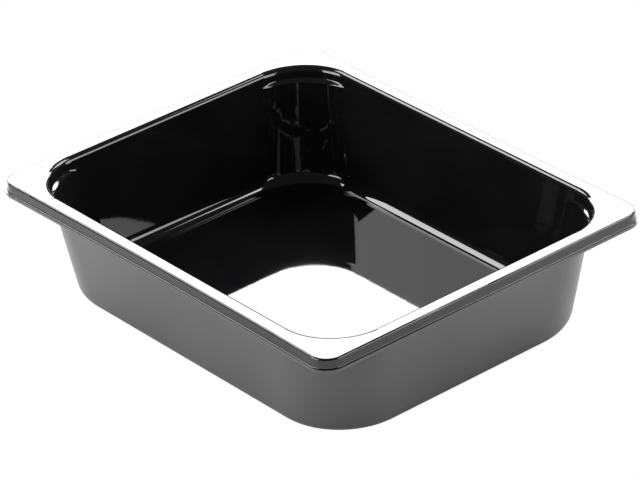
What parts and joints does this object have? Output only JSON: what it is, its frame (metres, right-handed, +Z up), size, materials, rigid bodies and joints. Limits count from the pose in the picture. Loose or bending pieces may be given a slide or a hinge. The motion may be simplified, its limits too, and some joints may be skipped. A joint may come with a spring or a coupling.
{
  "type": "food pan",
  "caption": "Shallow rectangular deli food pan with drafted walls, rounded corners, stacking shoulders and a flat skirted rim with a small lip; gloss inside, satin underside.",
  "frame": {"origin": "centre of the flat underside of the pan's floor", "axes": "+X along the long side, +Y along the short side, +Z up out of the open mouth"},
  "size_m": [0.325, 0.265, 0.08],
  "materials": {
    "satin_carrier": "black ABS carrier sheet, satin with a fine grain",
    "gloss_cap": "black acrylic cap, high gloss"
  },
  "bodies": {
    "root": {"carrier_shell": "satin_carrier", "gloss_cap": "gloss_cap"}
  },
  "joints": []
}
